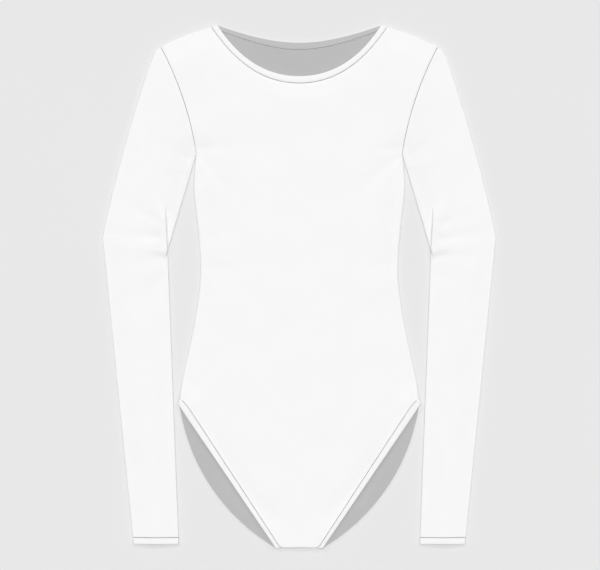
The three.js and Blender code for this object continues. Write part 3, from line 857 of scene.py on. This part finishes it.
def section_line(width, crease_at, closed, raised):
    """The middle of the cloth round a flattened section: out along the lower layer, round the
    outer edge, back along the upper layer, through the elbow fold and round the inner edge. Gives
    distances from the inner edge, heights, and layers: 1 is the upper one, -1 the lower one."""
    middle = SHELL / 2
    turn = UPRIGHT + middle
    far, near = width - turn, turn
    layer = FOLD_LAYER * raised
    half = layer / 2
    top = middle + 2 * UPRIGHT
    angle = np.linspace(0, math.pi, TURN_COLUMNS + 2)[1:-1]
    runs = []

    def run(q, z, layer):
        runs.append(np.broadcast_arrays(q, z, layer))

    run(near + (far - near) * edge_shares(UNDER_COLUMNS), middle, -1.0)
    run(far + UPRIGHT * np.sin(angle), middle + UPRIGHT * (1 - np.cos(angle)), -np.cos(angle))
    spread = FOLD_SPREAD * (1 - closed)
    outward = spread * (1 - smoothstep(crease_at, *FOLD_OUTWARD))
    lip = crease_at + half + outward
    over = far + (lip - far) * edge_shares(OVER_COLUMNS)
    run(over, top + 2 * layer * smoothstep(1 - (over - lip) / FOLD_REACH, 0, 1), 1.0)
    bend = np.linspace(0, math.pi, TUCK_COLUMNS)
    tuck = np.linspace(0, 1, TUCK_COLUMNS)[1:-1]
    out, rise = half * np.sin(bend), half * np.cos(bend)
    shape_q = join([half - out, half + (FOLD_OVERLAP - half) * tuck, FOLD_OVERLAP + out])[1:]
    shape_z = join([1.5 * layer + rise, layer + 0 * tuck, layer / 2 + rise])[1:]
    step = np.linspace(0, 1, len(shape_q) + 1)[1:]
    fold_q = crease_at + closed * shape_q + outward - spread * step
    fold_z = closed * shape_z + (1 - closed) * 2 * layer * (1 - smoothstep(step, 0, 1))
    run(fold_q, top + fold_z, 1.0)
    below = fold_q[-1] + (near - fold_q[-1]) * edge_shares(ARM_COLUMNS, 0.2)[1:]
    dip = FOLD_DIP * raised * smoothstep(below, near, near + 2)
    run(below, top - dip * np.exp(-(((below - crease_at + FOLD_DIP_BESIDE) / FOLD_DIP_WIDTH) ** 2)), 1.0)
    seam = np.exp(-(((angle - math.pi / 2) / SEAM_IN_EDGE_WIDTH) ** 2))
    drawn = UPRIGHT * np.sin(angle) - SEAM_IN_EDGE * seam
    run(near - drawn, top - UPRIGHT * (1 - np.cos(angle)), np.cos(angle))
    return [join(parts) for parts in zip(*runs)]


def closed_normals(q, z):
    """Unit vectors out of a closed line that runs anticlockwise."""
    dq = np.roll(q, -1) - np.roll(q, 1)
    dz = np.roll(z, -1) - np.roll(z, 1)
    size = np.hypot(dq, dz) + 1e-9
    return dz / size, -dq / size


def sleeve(name, side, creases):
    up = with_turn(edge_shares(UPPER_SECTIONS, 0.5), UPPER_LENGTH, SEAM_TURN, at_start=True)
    down = with_turn(edge_shares(FORE_SECTIONS, 0.3), FORE_LENGTH, SEAM_TURN, at_end=True)[1:]
    outer_ends = join([sleeve_outer.at(up), forearm_outer.at(down)])
    inner_ends = join([sleeve_inner.at(up), forearm_inner.at(down)])
    bows = join([(1 - up) ** 2, np.zeros(len(down))])
    off_seam = -SEAM / 2 * left_of(ARMPIT, SHOULDER_POINT)
    outer_ends[0] += off_seam
    inner_ends[0] += off_seam
    travelled = lengths((outer_ends + inner_ends) / 2)
    sheets, heights, layers, cut = [], [], [], []
    for outer_end, inner_end, bow, down in zip(outer_ends, inner_ends, bows, travelled):
        width = np.linalg.norm(outer_end - inner_end)
        across = (outer_end - inner_end) / width
        q, z, upper = section_line(width, *crease_on(outer_end, inner_end))
        share = np.clip(q / width, 0, 1)
        straight = ARMPIT + share[:, None] * np.subtract(SHOULDER_POINT, ARMPIT)
        back, front = (armhole.at(share) - straight for armhole in (back_armhole, front_armhole))
        bend = back + (upper[:, None] + 1) / 2 * (front - back)
        sheets.append(inner_end + q[:, None] * across + bow * bend)
        heights.append(z)
        layers.append(upper)
        around = lengths(np.stack([q, z], axis=-1))
        cut.append(np.stack([around - around[-1] / 2, np.full(len(around), -down)], axis=-1))
    sheets, heights, layers, cut = (np.array(rows) for rows in (sheets, heights, layers, cut))
    middle = SHELL / 2 + UPRIGHT
    ends = [np.linalg.norm(sheets - sheets[row], axis=-1) for row in (0, -1)]
    seam = np.maximum(*(turned(distance, SEAM_TURN) for distance in ends))
    form = crease_depth(sheets, creases) + all_sewn(sheets, SLEEVE_SEAMS)
    from_edge = nearest(sheets, sleeve_inner, forearm_inner, sleeve_outer, forearm_outer)[0]
    inside = smoothstep(from_edge, UPRIGHT + SHELL / 2, FORM_FULL)
    rise = loft_at(sheets) + wavy(sheets, 1.0 + side) + inside * form
    sink = -inside * crease_depth(sheets, UNDERARM_CREASES)
    heights += np.where(layers > 0.999, rise, 0) + np.where(layers < -0.999, sink, 0)
    heights -= np.where(heights > middle, SEAM_SINK, UNDER_SINK) * seam * layers
    centre = with_height(sheets, heights)
    normals = surface_normals(centre, ring=True)
    outer = centre + normals * SHELL / 2
    inner = centre - normals * SHELL / 2
    outer[..., 2] = np.maximum(outer[..., 2], 0)
    return cloth(name, outer * (side, 1, 1), inner * (side, 1, 1), cut, ring=True)


# Bands
STRIP_EDGE_POINTS = 4
STRIP_FLAT_POINTS = 7
TURN_SECTIONS = 9
NECK_SECTIONS = 60
LEG_SECTIONS = 64
LEG_CROWD = 0.4
CUFF_POINTS = 40
FACES_APART = 40.0  # keeps the knit of a strip's two faces apart
CROWN_RANGE = (-0.9, 0.3)  # how far up a section faces where its crown starts and is full


def ribbon_profile(width, thickness, bulge):
    """Round a folded strip, outer face first: share of the width, height and added crown."""
    r = thickness / 2
    angle = np.linspace(math.pi / 2, 0, STRIP_EDGE_POINTS)
    start = (r - r * np.sin(angle)) / width
    ends_out = r * np.cos(angle)
    flat = np.linspace(r / width, 1 - r / width, STRIP_FLAT_POINTS)[1:-1]
    x = (flat - flat.mean()) / (0.5 - r / width)
    share = join([start, flat, 1 - start[::-1]])
    height = join([ends_out, np.full(len(flat), r), ends_out[::-1]])
    crown = np.zeros(2 * len(share) - 2)
    crown[len(start) : len(start) + len(flat)] = bulge * (1 - x**2)
    heights = join([height, -height[1:-1][::-1]])
    return join([share, share[1:-1][::-1]]), heights, crown, len(share)


def ribbon(name, edge, seam, facing, thickness, bulge):
    """A folded strip that closes on itself, from its free edge, sewn edge and outward vectors."""
    width = np.linalg.norm(seam - edge, axis=-1)
    share, height, crown, outside = ribbon_profile(width.mean(), thickness, bulge)
    across = (seam - edge)[:, None, :]
    points = edge[:, None, :] + share[None, :, None] * across
    rise = height + crown * smoothstep(facing[:, 2:], *CROWN_RANGE)
    points = points + rise[..., None] * facing[:, None, :]
    rows, columns = points.shape[:2]
    middle = (edge + seam) / 2
    along = lengths(join([middle, middle[:1]]))
    around = join([share, [share[0]]]) * width.mean()
    around[outside:-1] += FACES_APART
    uv = np.stack(np.broadcast_arrays(around[None, :], along[:, None]), axis=-1)
    quads = patch_quads(rows, columns, rows, columns)
    corner_uv = patch_uv(uv, rows, columns)
    slots = np.tile(np.arange(columns) >= outside - 1, rows)
    return add_mesh(name, points.reshape(-1, 3), quads, corner_uv, slots, [BINDING, BINDING_INSIDE])


def turn_over(start, end, direction):
    """Points where a strip turns over from one layer to the other, and its outward vectors."""
    share = (np.arange(TURN_SECTIONS) + 1) / (TURN_SECTIONS + 1)
    out, up = np.sin(math.pi * share), np.cos(math.pi * share)
    radius = abs(start[2] - end[2]) / 2
    reach = min(radius, BAND_TURN)
    points = start + share[:, None] * (end - start)
    points[:, 2] = start[2] + (end[2] - start[2]) * (1 - up) / 2
    points[:, :2] += reach * out[:, None] * direction
    sign = 1.0 if start[2] > end[2] else -1.0
    facing = with_height(out[:, None] * direction / reach, sign * up / radius)
    return points, unit(facing)


def strip_sections(front, back, half, over, under=None):
    """The sections of a strip: along the front, over to the back, along the back, and back over.
    front and back are its free and its sewn edge there, half is half of its thickness."""
    flat = np.full(len(back[0]), half + BAND_CLEARANCE)
    up = np.tile([0.0, 0.0, 1.0], (len(flat), 1))
    sections = []
    for ahead, behind in zip(front, back):
        behind = with_height(behind, flat)[::-1]
        turns = [turn_over(ahead[-1], behind[0], over)]
        if under is not None:
            turns.append(turn_over(behind[-1], ahead[0], under))
        lines = [[ahead, up], turns[0], [behind, -up], *turns[1:]]
        sections.append([join(parts) for parts in zip(*lines)])
    (edge, facing), (seam, _) = sections
    return edge, seam, facing


def neck_sections():
    share = np.linspace(0, 1, NECK_SECTIONS)
    half = NECK_BINDING / 2
    front = front_neck_edge.at(share), front_neck_seam.beside(share, SEAM / 2)
    front = [with_height(points, NECK_BINDING + SEAM + half + loft_at(points)) for points in front]
    back = back_neck_edge.at(share), back_neck_seam.beside(share, SEAM / 2)
    sections = strip_sections(front, back, half, OVER_SHOULDER)
    return [join([points, points[-2:0:-1] * (-1, 1, 1)]) for points in sections]


def leg_sections(side):
    share = edge_shares(LEG_SECTIONS, LEG_CROWD)
    half = LEG_BAND / 2
    front = []
    for points in (front_leg_edge.at(share), front_leg_seam.at(share)):
        rise = lift_at(points, FRONT_LIFT) + loft_at(points)
        front.append(with_height(points, 2 * CLOTH + 2 * SEAM + half + rise))
    back = back_leg_edge.at(share), back_leg_seam.at(share)
    sections = strip_sections(front, back, half, OVER_HIP, UNDER_CROTCH)
    return [points * (side, 1, 1) for points in sections]


def cuff_sections(side):
    radius = (CUFF_BAND + SEAM - BAND_CLEARANCE) / 2
    turn = radius + CUFF_BAND / 2
    low = CUFF_BAND / 2 + BAND_CLEARANCE
    high = low + 2 * radius
    angle = np.linspace(0, math.pi, TURN_SECTIONS + 2)[1:-1]
    out, up = radius * np.sin(angle), radius * (1 - np.cos(angle))
    z = join([np.full(CUFF_POINTS, low), low + up, np.full(CUFF_POINTS, high), high - up])
    rings = []
    for outer_end, inner_end, gap in (
        (CUFF_OUTER, CUFF_INNER, 0),
        (CUFF_SEAM_OUTER, CUFF_SEAM_INNER, SEAM),
    ):
        width = np.linalg.norm(np.subtract(outer_end, inner_end))
        across = np.subtract(outer_end, inner_end) / width
        flat = np.linspace(turn, width - turn, CUFF_POINTS)
        q = join([flat, width - turn + out, flat[::-1], turn - out])
        place = np.subtract(inner_end, (0, gap)) + q[:, None] * across
        loft = np.where(z > high - 0.1 * radius, loft_at(place), 0)
        out_q, out_z = closed_normals(q, z)
        facing = join([out_q[:, None] * across, out_z[:, None]], axis=1)
        rings.append((with_height(place, z + loft), facing))
    (edge, facing), (seam, _) = rings
    return [points * (side, 1, 1) for points in (edge, seam, facing)]


# Threads
THREAD_SIDES = 6
THREAD_POINTS = 120
ARMHOLE_THREAD_SPAN = (0.004, 0.996)
LEG_THREAD_SPAN = (0.006, 0.985)


def tube_faces(rings, closed=False):
    """The faces of a thread: its wall, and a cap at each end of an open one."""
    quads = patch_quads(rings, THREAD_SIDES, rings if closed else rings - 1, THREAD_SIDES)
    if closed:
        return quads
    cap = np.array([[0, 5, 4, 1], [1, 4, 3, 2]])
    far_cap = (rings - 1) * THREAD_SIDES + np.roll(cap[:, ::-1], 1, axis=1)
    return join([quads, cap, far_cap])


def add_threads(name, middle, up, beside, radius, quads, material):
    """Round threads along their middle lines. up and beside are square to them."""
    turn = 2 * math.pi * np.arange(THREAD_SIDES)[:, None] / THREAD_SIDES
    spokes = np.cos(turn) * beside[..., None, :] + np.sin(turn) * up[..., None, :]
    points = middle[..., None, :] + radius * spokes
    points[..., 2] = np.maximum(points[..., 2], 0)
    uv, slots = np.zeros((len(quads), 4, 2)), np.zeros(len(quads))
    obj = add_mesh(name, points.reshape(-1, 3), quads, uv, slots, [material])
    return obj


def stitches(name, edge, seam, facing, lift, flat_lift):
    """A row of stitches along a strip, a little inside its sewn edge. The lifts are the height of
    the thread over the strip's middle, on top and on the flat underside."""
    lifts = np.where(facing[:, 2:] < CROWN_RANGE[0], flat_lift, lift)
    path = seam - unit(seam - edge) * STITCH_FROM_SEAM + facing * lifts
    path, facing = join([path, path[:1]]), join([facing, facing[:1]])
    along = lengths(path)
    count = int(along[-1] / (STITCH_LENGTH + STITCH_GAP))
    starts = (np.arange(count) + 0.1) * along[-1] / count
    stops, sizes, sinks = np.array(STITCH_FORM).T
    places = starts[:, None] + stops * STITCH_LENGTH
    before, middle, after = (read(path, along, places + step) for step in (-0.3, 0, 0.3))
    up, ahead = unit(read(facing, along, places)), unit(after - before)
    middle += (sinks * THREAD)[:, None] * up
    radius = (sizes * THREAD / 2)[:, None, None]
    firsts = np.arange(count)[:, None, None] * len(stops) * THREAD_SIDES
    quads = (firsts + tube_faces(len(stops))).reshape(-1, 4)
    return add_threads(name, middle, up, np.cross(up, ahead), radius, quads, THREAD_WHITE)


def seam_thread(name, path, up, ring=False):
    """The thread of a seam, laid along a path; up is the way that the seam faces."""
    if ring:
        tangent = np.roll(path, -1, axis=0) - np.roll(path, 1, axis=0)
    else:
        tangent = np.gradient(path, axis=0)
    beside = unit(np.cross(up, tangent))
    faces = tube_faces(len(path), closed=ring)
    return add_threads(name, path, np.asarray(up), beside, SEAM_THREAD / 2, faces, THREAD_GREY)


def armhole_threads(side_name, side):
    share = np.linspace(*ARMHOLE_THREAD_SPAN, THREAD_POINTS)
    over = front_armhole.at(share)
    over = with_height(over, front_height(over, THREAD_DEPTH))
    under = with_height(back_armhole.at(share), np.full(THREAD_POINTS, THREAD_DEPTH))
    return [
        seam_thread("armhole_thread_front_" + side_name, over * (side, 1, 1), (0.0, 0.0, 1.0)),
        seam_thread("armhole_thread_back_" + side_name, under * (side, 1, 1), (0.0, 0.0, -1.0)),
    ]


def leg_thread(side_name, side):
    place = front_leg_seam.beside(np.linspace(*LEG_THREAD_SPAN, THREAD_POINTS), LEG_THREAD_BESIDE)
    place = with_height(place, front_height(place, LEG_THREAD_DEPTH))
    return seam_thread("leg_thread_" + side_name, place * (side, 1, 1), (0.0, 0.0, 1.0))


def cuff_thread(side_name, edge, seam, facing):
    path = seam + (0, SEAM / 2, 0) + (CUFF_BAND / 2 - THREAD_DEPTH) * facing
    return seam_thread("cuff_thread_" + side_name, path, facing, ring=True)


# The garment
SIDES = (("left", 1, SLEEVE_CREASES), ("right", -1, SLEEVE_CREASES_RIGHT))


def stand_for(obj, node):
    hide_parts(node)
    return obj


def band(kind, ending, parts):
    """A band and its row of stitches."""
    thickness, crown, rise = BANDS[kind]
    strip = ribbon(kind + "_binding" + ending, *parts, thickness, crown)
    stand_for(strip, kind + "_band" + ending)
    return strip, stitches(kind + "_stitches" + ending, *parts, thickness / 2 + rise, thickness / 2)


front = stand_for(front_panel(), "front_panel")
back = stand_for(back_panel(), "back_panel")

for side_name, side, creases in SIDES:
    arm = sleeve("sleeve_cloth_" + side_name, side, creases)
    stand_for(arm, "sleeve_" + side_name)
    threads = armhole_threads(side_name, side)

neck, row = band("neck", "", neck_sections())

for side_name, side, _ in SIDES:
    leg, row = band("leg", "_" + side_name, leg_sections(side))
    rows = [row, leg_thread(side_name, side)]
    cuff_parts = cuff_sections(side)
    cuff, row = band("cuff", "_" + side_name, cuff_parts)
    rows = [row, cuff_thread(side_name, *cuff_parts)]

# Floor, light and camera, in metres and degrees
FLOOR_REACH = 30.0
FLOOR_BELOW = 0.0002  # how far the floor lies under the cloth
LIGHTS = [
    # name, azimuth, elevation, softness, strength
    ("overhead", 0.0, 82.0, 20.0, 1.8),
    ("key_left", -38.0, 34.0, 12.0, 0.38),
    ("key_right", 38.0, 34.0, 12.0, 0.36),
]
SKY_RISE = {"From Min": 0.45, "From Max": 0.95, "To Min": 0.06, "To Max": 1.0}
SKY_STRENGTH = 0.7
MM_PER_PIXEL = 1.3377
PIXELS_ACROSS = 600
SENSOR = 36.0
LENS = 100.0
CAMERA_SHIFT = (0.00094, 0.00235)


def floor_material():
    n = Nodes(bpy.data.materials.new("floor_pale"))
    cloud = n.noise(n.add("ShaderNodeTexCoord")["Object"], 3.0, 3.0)
    tone = n.mix(cloud, grey(0.745), grey(0.765))
    n.feed(n.shader, {"Base Color": tone, "Roughness": 0.85, "Specular IOR Level": 0.2})
    return n.owner


def sun_light(name, azimuth, elevation, softness, strength):
    """Even light from far away. Azimuth is clockwise from the top of the garment."""
    data = bpy.data.lights.new(name, "SUN")
    data.angle = math.radians(softness)
    data.energy = strength
    light = bpy.data.objects.new(name, data)
    turn, rise = math.radians(azimuth), math.radians(elevation)
    towards = (math.sin(turn) * math.cos(rise), math.cos(turn) * math.cos(rise), math.sin(rise))
    light.rotation_mode = "QUATERNION"
    light.rotation_quaternion = Vector(towards).to_track_quat("Z", "Y")
    bpy.context.scene.collection.objects.link(light)


floor_mesh = bpy.data.meshes.new("floor")
corners = [(x * FLOOR_REACH, y * FLOOR_REACH, 0) for x, y in ((-1, -1), (1, -1), (1, 1), (-1, 1))]
floor_mesh.from_pydata(corners, [], [(0, 1, 2, 3)])
floor_mesh.materials.append(floor_material())
floor = bpy.data.objects.new("floor", floor_mesh)
floor.location.z = -FLOOR_BELOW
bpy.context.scene.collection.objects.link(floor)

for light in LIGHTS:
    sun_light(*light)

# A sky like the ceiling of a light tent: bright above and dim towards the floor
world = bpy.data.worlds.new("studio")
sky = Nodes(world, "Background")
up = sky.add("ShaderNodeSeparateXYZ", {0: sky.add("ShaderNodeTexCoord")["Generated"]})["Z"]
rise = sky.add("ShaderNodeMapRange", {"Value": up, **SKY_RISE}, interpolation_type="SMOOTHSTEP")
sky.feed(sky.shader, {"Color": rise["Result"], "Strength": SKY_STRENGTH})
bpy.context.scene.world = world
bpy.context.scene.view_settings.view_transform = "Standard"

camera_data = bpy.data.cameras.new("camera")
camera_data.sensor_width = SENSOR
camera_data.lens = LENS
camera = bpy.data.objects.new("camera", camera_data)
frame_width = PIXELS_ACROSS * MM_PER_PIXEL / 1000
camera.location = (*CAMERA_SHIFT, frame_width * LENS / SENSOR)
bpy.context.scene.collection.objects.link(camera)
bpy.context.scene.camera = camera
